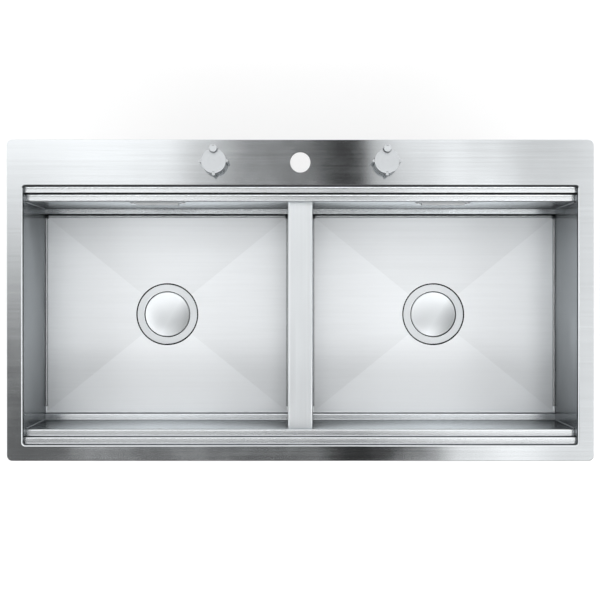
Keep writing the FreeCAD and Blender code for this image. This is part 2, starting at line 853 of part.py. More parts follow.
def outlet_housing(x):
    """The moulded outlet: collar, lever boss, hose spigot, gland bracket and threaded outlet."""
    collar_top = Vector(x, drain_y, neck_end + housing_collar_height)
    body_top = Vector(x, drain_y, neck_end)
    body_bottom = Vector(x, drain_y, housing_bottom)
    outlet_end = Vector(x, drain_y, housing_bottom - housing_outlet_length)
    spigot_z = lever_z - spigot_drop
    spigot_start = Vector(x, drain_y, spigot_z)
    spigot_end = Vector(x, drain_y + spigot_reach, spigot_z)
    shoulder_end = spigot_start + Vector(0, housing_radius + spigot_shoulder_height, 0)
    boss_start = Vector(x, lever_y, lever_z)
    boss_end = Vector(x + spindle_boss_reach, lever_y, lever_z)
    web_start = x + bracket_web_distance - bracket_web_thickness / 2
    web_x = (web_start, web_start + bracket_web_thickness)
    eye_z = lever_z + cable_eye_rise
    gland_x = x + cable_arm_x + cable_arm_thickness / 2
    web_z = (eye_z - bracket_web_height / 2, eye_z + bracket_web_height / 2)
    plate_y = (drain_y + bracket_distance, drain_y + bracket_distance + bracket_thickness)
    plate_z = (eye_z - bracket_height / 2, eye_z + bracket_height / 2)
    housing = rod(housing_radius, body_bottom, collar_top)
    housing = housing.fuse([
        rod(outlet_thread_radius, outlet_end, body_bottom),
        rod(hose_spigot_radius, spigot_start, spigot_end),
        rod(spigot_shoulder_radius, spigot_start, shoulder_end),
        rod(spindle_boss_radius, boss_start, boss_end),
        box(web_x, (lever_y, plate_y[1]), web_z),
        box((web_x[0], gland_x + bracket_half_width), plate_y, plate_z),
    ])
    housing = housing.cut([
        hole(outlet_radius, outlet_end, body_top),
        rod(outlet_thread_radius + neck_clearance, body_top, collar_top + Vector(0, 0, overrun)),
        rod(hose_bore_radius, spigot_start, spigot_end + Vector(0, overrun, 0)),
        hole(lever_spindle_radius + running_clearance, boss_start, boss_end),
        hole(gland_radius, Vector(gland_x, plate_y[0], eye_z), Vector(gland_x, plate_y[1], eye_z)),
    ])
    return housing.removeSplitter()


def gland(face, direction):
    """A cable gland pushed through a wall: a tube with a hexagon against the wall's outer face."""
    start = face - direction * (bracket_thickness + gland_inner_reach)
    end = start + direction * gland_length
    nut = hexagon(gland_nut_radius, face, face + direction * gland_nut_height)
    body = rod(gland_radius, start, end).fuse(nut)
    return body.cut(hole(gland_bore_radius, start, end)).removeSplitter()


def drain_gland(x):
    gland_x = x + cable_arm_x + cable_arm_thickness / 2
    face = Vector(gland_x, drain_y + bracket_distance + bracket_thickness, lever_z + cable_eye_rise)
    return gland(face, Vector(0, 1, 0))


def overflow_plate(side, y_range, length, above, below, corner_radius):
    """A rounded plate on the back wall, centred on one bowl's overflow."""
    x = side * drain_x
    x_range = (x - length / 2, x + length / 2)
    z_range = (overflow_z - below, overflow_z + above)
    return rounded_slab(x_range, y_range, z_range, corner_radius, Vector(0, 1, 0))


def overflow_slot(side, y_front, y_back):
    """The tool for the overflow's round-ended slot and two screw holes, from one face to another."""
    end_radius = overflow_slot_height / 2
    slot_ends = [side * drain_x + end * (overflow_slot_length / 2 - end_radius) for end in (-1, 1)]
    y_range = (y_front - overrun, y_back + overrun)
    tool = box(slot_ends, y_range, (overflow_z - end_radius, overflow_z + end_radius))
    bores = [(x, end_radius) for x in slot_ends]
    bores += [(x, overflow_screw_radius) for x in overflow_screw_places(side)]
    for x, radius in bores:
        tool = tool.fuse(hole(radius, Vector(x, y_front, overflow_z), Vector(x, y_back, overflow_z)))
    return tool


def overflow_screw_places(side):
    return [side * drain_x + end * overflow_screw_half_pitch for end in (-1, 1)]


def overflow_cover(side):
    """The cover plate with its raised hood, which takes the water in along its lower edge."""
    x = side * drain_x
    half_height = overflow_cover_height / 2
    front = wall_back - overflow_cover_sheet
    plate = overflow_plate(
        side, (front, wall_back), overflow_cover_length, half_height, half_height, overflow_corner_radius
    )
    plate = plate.cut(overflow_slot(side, front, wall_back))
    hood_half = overflow_hood_height / 2
    hood_x = (x - overflow_hood_length / 2, x + overflow_hood_length / 2)
    hood_y = (wall_back - overflow_hood_depth, front)
    hood = box(hood_x, hood_y, (overflow_z - hood_half, overflow_z + hood_half))
    front_edges = [edge for edge in hood.Edges if edge.BoundBox.YMax < hood_y[0] + tolerance]
    hood = hood.makeFillet(overflow_hood_edge_radius, front_edges)
    inside_x = (hood_x[0] + overflow_cover_sheet, hood_x[1] - overflow_cover_sheet)
    inside_y = (hood_y[0] + overflow_cover_sheet, wall_back + overrun)
    inside_top = overflow_z + hood_half - overflow_cover_sheet
    inside_bottom = overflow_z - hood_half + overflow_cover_sheet
    hollow = box(inside_x, inside_y, (inside_bottom, inside_top))
    inlet_x = (inside_x[0] + overflow_inlet_margin, inside_x[1] - overflow_inlet_margin)
    inlet = box(inlet_x, (inside_y[0], front), (overflow_z - hood_half - overrun, inside_bottom + overrun))
    return plate.fuse(hood).cut([hollow, inlet]).removeSplitter()


def overflow_gasket(side):
    half_height = overflow_cover_height / 2
    front = wall_back + wall_sheet
    back = front + overflow_gasket_thickness
    ring = overflow_plate(
        side, (front, back), overflow_cover_length, half_height, half_height, overflow_corner_radius
    )
    return ring.cut(overflow_slot(side, front, back))


def overflow_box(side):
    """The moulded box behind the wall, with screw posts and a downward hose spigot."""
    x = side * drain_x
    front = wall_back + wall_sheet + overflow_gasket_thickness
    back = front + overflow_box_depth
    shell = overflow_plate(
        side,
        (front, back),
        overflow_cover_length,
        overflow_box_above,
        overflow_box_below,
        overflow_corner_radius,
    )
    wall = overflow_box_wall
    hollow = overflow_plate(
        side,
        (front + wall, back - wall),
        overflow_cover_length - 2 * wall,
        overflow_box_above - wall,
        overflow_box_below - wall,
        overflow_corner_radius - wall,
    )
    for post_x in overflow_screw_places(side):
        start = Vector(post_x, front, overflow_z)
        hollow = hollow.cut(rod(overflow_post_radius, start, start + Vector(0, overflow_box_depth, 0)))
    middle_y = (front + back) / 2
    box_bottom = overflow_z - overflow_box_below
    spigot_end = Vector(x, middle_y, box_bottom - overflow_spigot_length)
    spigot_reach_up = Vector(x, middle_y, box_bottom + wall)
    shell = shell.fuse(rod(hose_spigot_radius, spigot_end, spigot_reach_up)).cut(hollow)
    shell = shell.cut(hole(hose_bore_radius, spigot_end, spigot_reach_up))
    shell = shell.cut(overflow_slot(side, front, front + wall))
    for post_x in overflow_screw_places(side):
        start = Vector(post_x, front - overrun, overflow_z)
        end = Vector(post_x, overflow_screw_tip(), overflow_z)
        shell = shell.cut(rod(overflow_screw_radius, start, end))
    return shell.removeSplitter()


def overflow_screw_tip():
    return wall_back - overflow_cover_sheet + overflow_screw_length


def overflow_screw(x):
    """A round-headed screw through the cover, the wall and the gasket into the box's post."""
    face = Vector(x, wall_back - overflow_cover_sheet, overflow_z)
    head = rod(overflow_head_radius, face - Vector(0, overflow_head_height, 0), face)
    front_rim = [edge for edge in head.Edges if edge.BoundBox.YMax < face.y - overflow_head_height / 2]
    head = head.makeFillet(overflow_head_edge_radius, front_rim)
    return head.fuse(rod(overflow_screw_radius, face, Vector(x, overflow_screw_tip(), overflow_z)))


def control_knob(x):
    """The knob: a deep cup with a fine groove near its foot, three side ribs and a seat for the peg."""
    axis_low = Vector(x, control_y, knob_bottom)
    axis_high = Vector(x, control_y, knob_top)
    knob = rod(knob_radius, axis_low, axis_high)
    knob = knob.makeFillet(knob_edge_radius, edges_at_level(knob, knob_top, rim_length))
    for turn in (0, 180, 270):
        angle = math.radians(turn)
        foot = axis_low + Vector(math.cos(angle), math.sin(angle), 0) * rib_from_axis
        rib = rod(rib_radius, foot, Vector(foot.x, foot.y, knob_top - knob_edge_radius))
        knob = knob.fuse(rib)
    groove_low = Vector(x, control_y, knob_bottom + groove_rise)
    groove_high = groove_low + Vector(0, 0, groove_height)
    groove = tube(rib_from_axis + 2 * rib_radius, knob_radius - groove_depth, groove_low, groove_high)
    cavity_top = Vector(x, control_y, knob_bottom + knob_cavity_height)
    cavity = rod(knob_cavity_radius, axis_low - Vector(0, 0, overrun), cavity_top)
    spindle_top = Vector(x, control_y, deck_top + spindle_in_knob)
    socket = rod(spindle_radius, axis_low, spindle_top)
    peg_foot, peg_top = peg_ends(x)
    front_slot = index_slot(x, control_y - knob_radius + index_slot_from_edge, knob_top)
    return knob.cut([groove, cavity, socket, rod(peg_radius, peg_foot, peg_top), front_slot]).removeSplitter()


def index_slot(x, y, top):
    """The tool for a short shallow slot across a top face."""
    half_length = index_slot_length / 2
    half_width = index_slot_width / 2
    slot_x = (x - half_length, x + half_length)
    slot_y = (y - half_width, y + half_width)
    return box(slot_x, slot_y, (top - index_slot_depth, top + overrun))


def peg_ends(x):
    foot = Vector(x, control_y + peg_from_axis, knob_bottom)
    return foot, Vector(foot.x, foot.y, knob_top + peg_rise)


def finger_peg(x):
    """The round peg at the knob's back edge, by which it is turned."""
    foot, top = peg_ends(x)
    peg = rod(peg_radius, foot, top)
    peg = peg.makeFillet(peg_edge_radius, edges_at_level(peg, top.z, rim_length))
    clear_low = Vector(x, control_y, knob_bottom - overrun)
    clear_high = Vector(x, control_y, knob_bottom + knob_cavity_height)
    back_slot = index_slot(x, top.y + peg_radius - index_slot_from_edge, top.z)
    return peg.cut([rod(knob_cavity_radius, clear_low, clear_high), back_slot])


def base_ring(x):
    """The thin ring on the deck, screwed on the bush under the knob."""
    low = Vector(x, control_y, deck_top)
    high = low + Vector(0, 0, base_ring_height)
    ring = tube(knob_radius, bush_radius, low, high)
    top_edges = edges_at_level(ring, high.z, rim_length)
    outer_edges = [edge for edge in top_edges if is_circle(edge, knob_radius)]
    return ring.makeFillet(base_ring_edge_radius, outer_edges)


def control_bush(x):
    low = Vector(x, control_y, bush_bottom)
    high = Vector(x, control_y, deck_top + bush_above_deck)
    return tube(bush_radius, spindle_radius + running_clearance, low, high)


def control_spindle(x):
    low = Vector(x, control_y, drum_bottom - drum_gap)
    return rod(spindle_radius, low, Vector(x, control_y, deck_top + spindle_in_knob))


def control_washer(x):
    high = Vector(x, control_y, deck_underside)
    return tube(control_washer_radius, bush_radius, high - Vector(0, 0, control_washer_thickness), high)


def control_nut(x):
    high = Vector(x, control_y, deck_underside - control_washer_thickness)
    low = high - Vector(0, 0, control_nut_height)
    return hexagon(control_nut_radius, low, high).cut(hole(bush_radius, low, high))


def drum_housing(side):
    """The cup under the bush that holds the cable drum, with a boss where the cable leaves."""
    x = side * control_x
    top = Vector(x, control_y, bush_bottom)
    bottom = Vector(x, control_y, drum_housing_bottom)
    gland_face, gland_direction = drum_gland_place(side)
    boss_radius = gland_radius + drum_housing_wall
    housing = rod(drum_housing_radius, bottom, top)
    boss_start = Vector(x, gland_face.y, gland_face.z)
    housing = housing.fuse(rod(boss_radius, boss_start, gland_face))
    cavity_top = top - Vector(0, 0, drum_housing_wall)
    cavity = rod(drum_housing_radius - drum_housing_wall, bottom - Vector(0, 0, overrun), cavity_top)
    housing = housing.cut([
        cavity,
        hole(spindle_radius + running_clearance, cavity_top, top),
        rod(gland_radius, gland_face - gland_direction * (bracket_thickness + gland_inner_reach),
            gland_face + gland_direction * overrun),
    ])
    return housing.removeSplitter()


def drum_gland_place(side):
    """The outer face of the housing's boss, in line with the drum's front edge."""
    x = side * (control_x + drum_housing_radius + gland_inner_reach)
    z = (drum_top + drum_bottom) / 2
    return Vector(x, control_y - drum_radius, z), Vector(side, 0, 0)


def cable_drum(x):
    """The grooved drum on the spindle that winds the cable up."""
    low = Vector(x, control_y, drum_bottom)
    high = Vector(x, control_y, drum_top)
    rim = Vector(0, 0, drum_flange_height)
    drum = rod(drum_radius, low, high).fuse([
        rod(drum_radius + drum_flange_width, low, low + rim),
        rod(drum_radius + drum_flange_width, high - rim, high),
    ])
    return drum.cut(hole(spindle_radius, low, high)).removeSplitter()


def drum_cover(x):
    """The lid under the drum housing, with a spigot in its mouth and a bearing for the spindle."""
    mouth = Vector(x, control_y, drum_housing_bottom)
    lid = rod(drum_housing_radius, mouth - Vector(0, 0, cover_thickness), mouth)
    spigot_radius = drum_housing_radius - drum_housing_wall - cover_clearance
    lid = lid.fuse(rod(spigot_radius, mouth, mouth + Vector(0, 0, cover_spigot_height)))
    bearing_bottom = Vector(x, control_y, drum_bottom - drum_gap - seat_clearance)
    bearing_top = mouth + Vector(0, 0, cover_spigot_height + overrun)
    return lid.cut(rod(spindle_radius + running_clearance, bearing_bottom, bearing_top)).removeSplitter()


def clamp_places():
    """Where each clamp stands on the rim: a point on the rim's outer edge and the turn of its frame."""
    half_length = rim_length / 2
    half_depth = rim_depth / 2
    places = [(share * half_length, -half_depth, 180) for share in front_clamp_shares]
    places += [(share * half_length, half_depth, 0) for share in back_clamp_shares]
    for side, turn in ((-1, 90), (1, -90)):
        places += [(side * half_length, share * half_depth, turn) for share in side_clamp_shares]
    return places


def at_clamps(piece):
    """A copy of one clamp piece at every place round the rim."""
    copies = []
    for x, y, turn in clamp_places():
        copy = piece.copy()
        copy.rotate(Vector(0, 0, 0), Vector(0, 0, 1), turn)
        copy.translate(Vector(x, y, 0))
        copies.append(copy)
    return Part.makeCompound(copies)


def clamp_bracket():
    """A bent bracket welded under the deck, drawn at the rim's outer edge with the rim towards +Y."""
    half_length = clamp_bracket_length / 2
    back = -clamp_bracket_inset - clamp_bracket_sheet
    bottom = deck_underside - clamp_bracket_height
    upright = box((-half_length, half_length), (back, -clamp_bracket_inset), (bottom, deck_underside))
    tab_y = (back, -clamp_bracket_inset + clamp_tab_reach)
    tab = box((-half_length, half_length), tab_y, (bottom, clamp_tab_top))
    low = Vector(0, clamp_screw_y, bottom)
    high = Vector(0, clamp_screw_y, clamp_tab_top)
    return upright.fuse(tab).cut(hole(clamp_screw_radius, low, high)).removeSplitter()


def clamp_hook():
    """The hooked bar on the screw, turned along the rim as it is while the sink is lowered in."""
    half_width = clamp_hook_width / 2
    y_range = (clamp_screw_y - half_width, clamp_screw_y + half_width)
    end = clamp_hook_length - half_width
    top = clamp_head_top + clamp_hook_thickness
    bar = box((-half_width, end), y_range, (clamp_head_top, top))
    tooth = box((end - clamp_hook_thickness, end), y_range, (top, top + clamp_hook_rise))
    low = Vector(0, clamp_screw_y, clamp_head_top)
    screw_hole = hole(clamp_screw_radius + clamp_hook_clearance, low, Vector(0, clamp_screw_y, top))
    return bar.fuse(tooth).cut(screw_hole).removeSplitter()


def clamp_screw():
    low = Vector(0, clamp_screw_y, clamp_head_top)
    shank = rod(clamp_screw_radius, low, low + Vector(0, 0, clamp_screw_length))
    return shank.fuse(hexagon(clamp_head_radius, low - Vector(0, 0, clamp_head_height), low))


def sound_pads():
    """Flat pads glued to the hidden faces: under each floor and on the front, back and end walls."""
    pads = []
    front_y = wall_front - wall_sheet
    back_y = wall_back + wall_sheet
    pad_top = deck_top - back_pad_top_drop
    pad_z = (pad_top - wall_pad_height, pad_top)
    for side in (-1, 1):
        x = side * drain_x
        x_range, y_range = bowl_ranges(side)
        pad = creased_slab(x_range, y_range, -wall_sheet, pad_thickness)
        inner_x = (x_range[0] + floor_pad_margin, x_range[1] - floor_pad_margin)
        inner_y = (y_range[0] + floor_pad_margin, y_range[1] - floor_pad_margin)
        reach = floor_fall + wall_sheet + pad_thickness
        pad = pad.common(box(inner_x, inner_y, (floor_edge - reach - overrun, floor_edge)))
        centre = Vector(x, drain_y, floor_edge)
        pads.append(pad.cut(hole(floor_pad_hole_radius, centre - Vector(0, 0, reach), centre)))
        long_x = (x - wall_pad_length / 2, x + wall_pad_length / 2)
        pads.append(box(long_x, (back_y, back_y + pad_thickness), pad_z))
        pads.append(box(long_x, (front_y - pad_thickness, front_y), pad_z))
        pad_start = opening_right + wall_sheet
        end_x = sorted((side * pad_start, side * (pad_start + pad_thickness)))
        end_y = (drain_y - end_pad_length / 2, drain_y + end_pad_length / 2)
        pads.append(box(end_x, end_y, pad_z))
    return Part.makeCompound(pads)


def save(name, shape):
    shape.exportStep("parts/" + name + ".step")


os.makedirs("parts", exist_ok=True)

back_wall = back_stepped_wall()
front_wall = front_stepped_wall()
save("deck_plate", deck_plate())
save("back_stepped_wall", back_wall)
save("front_stepped_wall", front_wall)
save("divider", divider(front_wall, back_wall))
save("rim_gasket", rim_gasket())
save("sound_pads", sound_pads())
save("clamp_brackets", at_clamps(clamp_bracket()))
save("clamp_hooks", at_clamps(clamp_hook()))
save("clamp_screws", at_clamps(clamp_screw()))

for side, side_name in ((-1, "left"), (1, "right")):
    drain = side * drain_x
    control = side * control_x
    save(side_name + "_end_wall", end_wall(side, front_wall, back_wall))
    save(side_name + "_bowl_floor", bowl_floor(side))
    save(side_name + "_waste_body", waste_body(drain))
    save(side_name + "_flange_seal", flange_seal(drain))
    save(side_name + "_back_washer", back_washer(drain))
    save(side_name + "_strainer_basket", strainer_basket(drain))
    save(side_name + "_plug_seal", plug_seal(drain))
    save(side_name + "_drain_cap", drain_cap(drain))
    save(side_name + "_lift_pin", lift_pin(drain))
    save(side_name + "_lever_spindle", lever_spindle(drain))
    save(side_name + "_lift_arm", lift_arm(drain))
    save(side_name + "_cable_arm", cable_arm(drain))
    save(side_name + "_outlet_housing", outlet_housing(drain))
    save(side_name + "_overflow_cover", overflow_cover(side))
    save(side_name + "_overflow_box", overflow_box(side))
    save(side_name + "_knob", control_knob(control))
    save(side_name + "_finger_peg", finger_peg(control))
    save(side_name + "_base_ring", base_ring(control))
    save(side_name + "_control_bush", control_bush(control))
    save(side_name + "_control_spindle", control_spindle(control))
    save(side_name + "_drum_housing", drum_housing(side))
    save(side_name + "_cable_drum", cable_drum(control))

sides = (-1, 1)
save("lock_nuts", Part.makeCompound([lock_nut(side * drain_x) for side in sides]))
save("overflow_gaskets", Part.makeCompound([overflow_gasket(side) for side in sides]))
screw_places = [x for side in sides for x in overflow_screw_places(side)]
save("overflow_screws", Part.makeCompound([overflow_screw(x) for x in screw_places]))
save("control_washers", Part.makeCompound([control_washer(side * control_x) for side in sides]))
save("control_nuts", Part.makeCompound([control_nut(side * control_x) for side in sides]))
save("drum_covers", Part.makeCompound([drum_cover(side * control_x) for side in sides]))
glands = [drain_gland(side * drain_x) for side in sides]
glands += [gland(*drum_gland_place(side)) for side in sides]
save("cable_glands", Part.makeCompound(glands))
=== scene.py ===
"""The look of the double-bowl kitchen sink: finishes, outlet threads, studio and camera.

Metres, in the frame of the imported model: +X to the right, +Y to the back deck, +Z up, with the worktop
at height zero.
"""

import json
import math

import bmesh
import bpy
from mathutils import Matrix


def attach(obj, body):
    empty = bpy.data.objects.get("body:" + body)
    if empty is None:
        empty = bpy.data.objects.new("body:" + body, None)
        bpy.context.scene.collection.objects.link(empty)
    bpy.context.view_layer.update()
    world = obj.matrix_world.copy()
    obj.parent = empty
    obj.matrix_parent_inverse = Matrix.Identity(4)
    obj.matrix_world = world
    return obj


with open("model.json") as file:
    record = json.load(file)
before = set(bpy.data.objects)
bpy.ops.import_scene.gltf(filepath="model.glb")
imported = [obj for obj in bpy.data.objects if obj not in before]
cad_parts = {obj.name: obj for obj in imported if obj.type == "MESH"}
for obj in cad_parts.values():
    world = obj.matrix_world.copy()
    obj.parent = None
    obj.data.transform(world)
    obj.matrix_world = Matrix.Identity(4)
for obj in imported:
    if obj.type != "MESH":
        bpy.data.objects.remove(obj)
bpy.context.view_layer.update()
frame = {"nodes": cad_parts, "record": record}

# The upright axes of the right-hand drain and control, which the left-hand ones mirror
DRAIN = (0.251, -0.0265)
CONTROL = (0.148, 0.2375)


# Shader helpers

def node(tree, kind, inputs=None, **settings):
    """Adds a shader node. An input is a value, or the socket that feeds it."""
    made = tree.nodes.new(kind)
    for name, value in settings.items():
        setattr(made, name, value)
    for socket, value in (inputs or {}).items():
        if isinstance(value, bpy.types.NodeSocket):
            tree.links.new(value, made.inputs[socket])
        else:
            made.inputs[socket].default_value = value
    return made


def maths(tree, operation, first, second=0.0, third=0.0, clamp=False):
    inputs = {0: first, 1: second, 2: third}
    return node(tree, "ShaderNodeMath", inputs, operation=operation, use_clamp=clamp).outputs[0]


def product(tree, first, *others):
    for other in others:
        first = maths(tree, "MULTIPLY", first, other)
    return first


def vectors(tree, operation, first, second=(0.0, 0.0, 0.0)):
    return node(tree, "ShaderNodeVectorMath", {0: first, 1: second}, operation=operation)


def dot(tree, first, second):
    return vectors(tree, "DOT_PRODUCT", first, second).outputs["Value"]


def parts_of(tree, vector):
    """The x, y and z of a vector."""
    return node(tree, "ShaderNodeSeparateXYZ", {0: vector}).outputs


def surface_normal(tree):
    return node(tree, "ShaderNodeNewGeometry").outputs["Normal"]


def span(tree, value, low, high, smooth=False, source=(0.0, 1.0)):
    """Carries a value from the source's range to another range."""
    inputs = {"Value": value, "From Min": source[0], "From Max": source[1], "To Min": low, "To Max": high}
    kind = "SMOOTHSTEP" if smooth else "LINEAR"
    return node(tree, "ShaderNodeMapRange", inputs, interpolation_type=kind).outputs[0]


def rising(tree, value, source):
    """Zero below the source's range and one above it."""
    return span(tree, value, 0.0, 1.0, smooth=True, source=source)


def falling(tree, value, source):
    """One below the source's range and zero above it."""
    return span(tree, value, 1.0, 0.0, smooth=True, source=source)


def fill(tree, mix_node, name, value):
    """Sets or links the input of a mix node that carries this identifier."""
    socket = next(s for s in mix_node.inputs if s.identifier == name)
    if isinstance(value, bpy.types.NodeSocket):
        tree.links.new(value, socket)
    elif isinstance(value, tuple):
        socket.default_value = (*value, 1.0)
    else:
        socket.default_value = value


def blend(tree, factor, first, second):
    """A colour between two colours."""
    made = node(tree, "ShaderNodeMix", data_type="RGBA")
    fill(tree, made, "Factor_Float", factor)
    fill(tree, made, "A_Color", first)
    fill(tree, made, "B_Color", second)
    return next(s for s in made.outputs if s.identifier == "Result_Color")


def noise(tree, place, detail=3.0, roughness=0.6, scale=1.0):
    inputs = {"Vector": place, "Scale": scale, "Detail": detail, "Roughness": roughness}
    return node(tree, "ShaderNodeTexNoise", inputs).outputs["Fac"]


def stretched(tree, place, scale):
    return node(tree, "ShaderNodeMapping", {"Vector": place, "Scale": scale}).outputs[0]


def openness(tree, reach):
    """The share of the surroundings within reach that nothing blocks."""
    return node(tree, "ShaderNodeAmbientOcclusion", {"Distance": reach}, samples=8).outputs["AO"]


def start_material(name):
    material = bpy.data.materials.new(name)
    material.use_nodes = True
    tree = material.node_tree
    shader = next(n for n in tree.nodes if n.type == "BSDF_PRINCIPLED")
    place = node(tree, "ShaderNodeTexCoord").outputs["Object"]
    return material, tree, shader, place


def scaled(colour, factor):
    return tuple(min(1.0, channel * factor) for channel in colour)


def grey(level):
    return (level, level, level)


# The lines of the brushed grain

GRAIN_AXES = {"x": (1.0, 0.0, 0.0), "y": (0.0, 1.0, 0.0)}
UP = (0.0, 0.0, 1.0)
# Faces whose normal leans more than this along X belong to the ends
END_FACE = 0.7
# Keeps the grain's direction from vanishing on level faces
SIDE_NUDGE = (0.001, 0.0, 0.0)
# What the noise along lines round an axis is stretched by, since they run by angle and not by length
ROUND_STRETCH = 10


def from_axis(tree, place, centre):
    """The horizontal way from the nearer of two mirrored upright axes to a place, the distance, and the
    height."""
    x, y, height = parts_of(tree, place)
    side = maths(tree, "SIGN", x)
    away_x = maths(tree, "SUBTRACT", x, maths(tree, "MULTIPLY", side, centre[0]))
    away_y = maths(tree, "SUBTRACT", y, centre[1])
    away = node(tree, "ShaderNodeCombineXYZ", {0: away_x, 1: away_y}).outputs[0]
    return away, vectors(tree, "LENGTH", away).outputs["Value"], height


def grain_lines(tree, place, grain, across, along):
    """Coordinates in which noise becomes brushed lines: along an axis, level round the walls, or round a
    turned piece's axis."""
    if grain in GRAIN_AXES:
        return stretched(tree, place, tuple(along if part else across for part in GRAIN_AXES[grain]))
    if grain == "level":
        facing_x = parts_of(tree, surface_normal(tree))[0]
        at_end = maths(tree, "GREATER_THAN", maths(tree, "ABSOLUTE", facing_x), END_FACE)
        mixed = node(tree, "ShaderNodeMix", data_type="VECTOR")
        fill(tree, mixed, "Factor_Float", at_end)
        fill(tree, mixed, "A_Vector", stretched(tree, place, (along, across, across)))
        fill(tree, mixed, "B_Vector", stretched(tree, place, (across, along, across)))
        return next(s for s in mixed.outputs if s.identifier == "Result_Vector")
    away, distance, height = from_axis(tree, place, grain)
    turn = vectors(tree, "NORMALIZE", away).outputs[0]
    radial = maths(tree, "MULTIPLY", maths(tree, "ADD", distance, height), across)
    around = along / ROUND_STRETCH
    turned_x, turned_y, _ = parts_of(tree, vectors(tree, "MULTIPLY", turn, (around, around, 0.0)).outputs[0])
    return node(tree, "ShaderNodeCombineXYZ", {0: radial, 1: turned_x, 2: turned_y}).outputs[0]


def grain_tangent(tree, grain):
    """The direction across the brushed lines, in the surface, along which they spread a reflection."""
    geometry = node(tree, "ShaderNodeNewGeometry")
    if grain in GRAIN_AXES:
        line = GRAIN_AXES[grain]
    elif grain == "level":
        round_walls = vectors(tree, "CROSS_PRODUCT", UP, geometry.outputs["Normal"]).outputs[0]
        line = vectors(tree, "ADD", round_walls, SIDE_NUDGE).outputs[0]
    else:
        away = from_axis(tree, geometry.outputs["Position"], grain)[0]
        line = vectors(tree, "CROSS_PRODUCT", UP, away).outputs[0]
    across = vectors(tree, "CROSS_PRODUCT", geometry.outputs["Normal"], line).outputs[0]
    return vectors(tree, "NORMALIZE", across).outputs[0]


# Where shade is painted on the steel, and where it is duller

# Ranges of the normal's upward part: from upright faces to level ones, from faces that look down to the
# rest, and from upright faces to bent ones
UPRIGHT_LEAN = (0.2, 0.6)
DOWN_LEAN = (-0.9, -0.7)
BEND_LEAN = (0.02, 0.2)
# The range of its backward part from faces that look to the front to the rest
FRONT_LEAN = (-0.2, -0.06)
# The height at which the bend of the deck and of each ledge starts, and how much painted shade it gets
LEDGE_FOLDS = ((0.003, 0.95), (-0.013, 1.0), (-0.029, 0.5), (-0.237, 0.75), (-0.241, 1.0))
# How far each of those bends goes down
FOLD_DROP = 0.004
# The short risers lie above the first height and under the second, and get this much painted shade
RISER_FOOT = -0.0275
RISER_TOP = -0.2415
RISER_SHARE = 0.8
# How far the normals of a rounded and of the plain surface agree, from a sharp edge to a flat face
EDGE_AGREEMENT = (0.8, 0.995)


def upright(tree):
    """One on upright faces and zero on level ones."""
    facing_up = maths(tree, "ABSOLUTE", parts_of(tree, surface_normal(tree))[2])
    return span(tree, facing_up, 1.0, 0.0, source=UPRIGHT_LEAN)


def outward(tree, place):
    """One on the faces that look away from the bowls and on those that look down, and zero elsewhere."""
    normal = surface_normal(tree)
    down = span(tree, parts_of(tree, normal)[2], 1.0, 0.0, source=DOWN_LEAN)
    away = maths(tree, "GREATER_THAN", dot(tree, normal, place), 0.0)
    return maths(tree, "MAXIMUM", down, maths(tree, "MULTIPLY", away, upright(tree)))


def front_fold_shade(tree, place):
    """The share of painted shade on the bends that turn down toward the front, and on the short risers
    between the ledges."""
    normal = surface_normal(tree)
    _, facing_back, facing_up = parts_of(tree, normal)
    height = parts_of(tree, place)[2]
    turned = falling(tree, facing_back, FRONT_LEAN)
    bent = maths(tree, "MULTIPLY", turned, span(tree, facing_up, 0.0, 1.0, source=BEND_LEAN))
    share = 0.0
    for level, strength in LEDGE_FOLDS:
        near = maths(tree, "COMPARE", height, level - FOLD_DROP / 2, FOLD_DROP / 2)
        share = maths(tree, "MULTIPLY_ADD", near, strength, share)
    inward = maths(tree, "LESS_THAN", dot(tree, normal, place), 0.0)
    high = maths(tree, "GREATER_THAN", height, RISER_FOOT)
    low = maths(tree, "LESS_THAN", height, RISER_TOP)
    short = maths(tree, "MAXIMUM", high, low)
    riser = product(tree, upright(tree), short, inward, RISER_SHARE)
    return maths(tree, "MAXIMUM", maths(tree, "MULTIPLY", bent, share), riser)


def edge_wear(tree, reach):
    """About one along a piece's sharp edges and zero elsewhere."""
    rounded = node(tree, "ShaderNodeBevel", {"Radius": reach}, samples=6).outputs[0]
    alike = dot(tree, rounded, surface_normal(tree))
    return span(tree, alike, 1.0, 0.0, source=EDGE_AGREEMENT)


# The two kinds of finish, brushed steel and cast pieces

# The scale of the noise across and along the brushed lines, and the fine grain's share of the two
FINE_GRAIN = (900.0, 7.0)
BROAD_GRAIN = (220.0, 2.0)
FINE_SHARE = 0.4
CLOUD_SCALE = 7.0
# The range that most of the noise lies in
NOISE_RANGE = (0.3, 0.7)
CLOUD_RANGE = (0.35, 0.7)
# The clouds change the roughness by its spread over this
CLOUD_DIVISOR = 6
# How deep the brushed lines are
GRAIN_RELIEF = 0.0001
# Painted shade on upright faces: what stands within this reach shades them, over this range of openness
HOLLOW_REACH = 0.22
HOLLOW_RANGE = (0.35, 0.95)
# The colour that painted shade blends toward, which is also the dark flag's level in the studio light, and
# the bare finish of the outside
SHADE_COLOUR = (0.02, 0.021, 0.022)
MILL_STEEL = (0.46, 0.475, 0.485)


def shade_creases(tree, place, colour, strength, reach, source, front):
    """Paints shade into inner corners, by how open they are. Level faces in front of a line across the part,
    if one is given, get none.
    """
    unshaded = span(tree, openness(tree, reach), 1 - strength, 1.0, smooth=True, source=source)
    if front is not None:
        before = maths(tree, "LESS_THAN", parts_of(tree, place)[1], front)
        unshaded = maths(tree, "MAXIMUM", unshaded, maths(tree, "SUBTRACT", before, upright(tree)))
    return blend(tree, unshaded, SHADE_COLOUR, colour)


def shade_hollows(tree, colour, strength):
    """Paints shade on upright faces that little light reaches."""
    light = span(tree, openness(tree, HOLLOW_REACH), 1 - strength, 1.0, source=HOLLOW_RANGE)
    light = maths(tree, "MAXIMUM", light, maths(tree, "SUBTRACT", 1.0, upright(tree)))
    return blend(tree, light, SHADE_COLOUR, colour)


